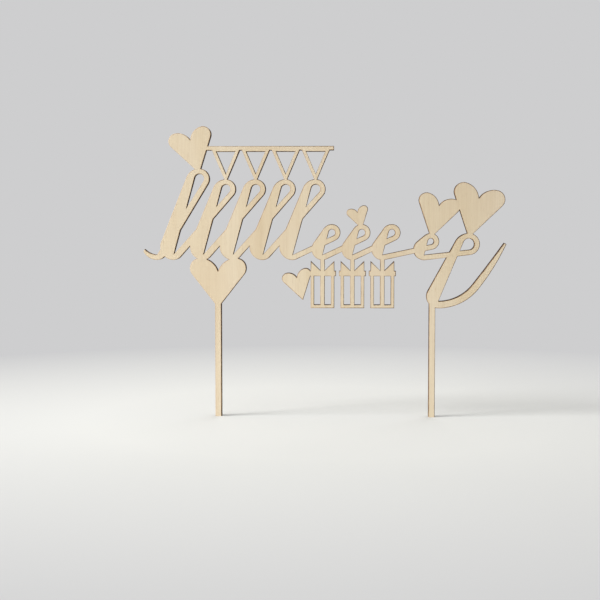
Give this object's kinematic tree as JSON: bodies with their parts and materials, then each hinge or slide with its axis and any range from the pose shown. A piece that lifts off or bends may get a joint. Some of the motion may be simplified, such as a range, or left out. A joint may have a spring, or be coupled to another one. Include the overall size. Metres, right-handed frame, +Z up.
{
  "type": "cake topper",
  "caption": "Flat plywood cake topper: a row of looped pen strokes with hearts, bunting and gift boxes, standing on pointed stakes that push into a cake.",
  "frame": {"origin": "midway between the stakes, at the level of the icing, in the middle of the sheet's thickness", "axes": "+X to the right seen from the front, +Y through the sheet towards the back, +Z up out of the cake"},
  "size_m": [0.154, 0.004, 0.1685],
  "materials": {
    "face_veneer": "bare sanded veneer, pale, with scorched cut edges",
    "core_veneer": "cut edge charred brown by the laser"
  },
  "bodies": {
    "root": {"front_veneer": "face_veneer", "core_veneer": "core_veneer", "back_veneer": "face_veneer"}
  },
  "joints": []
}
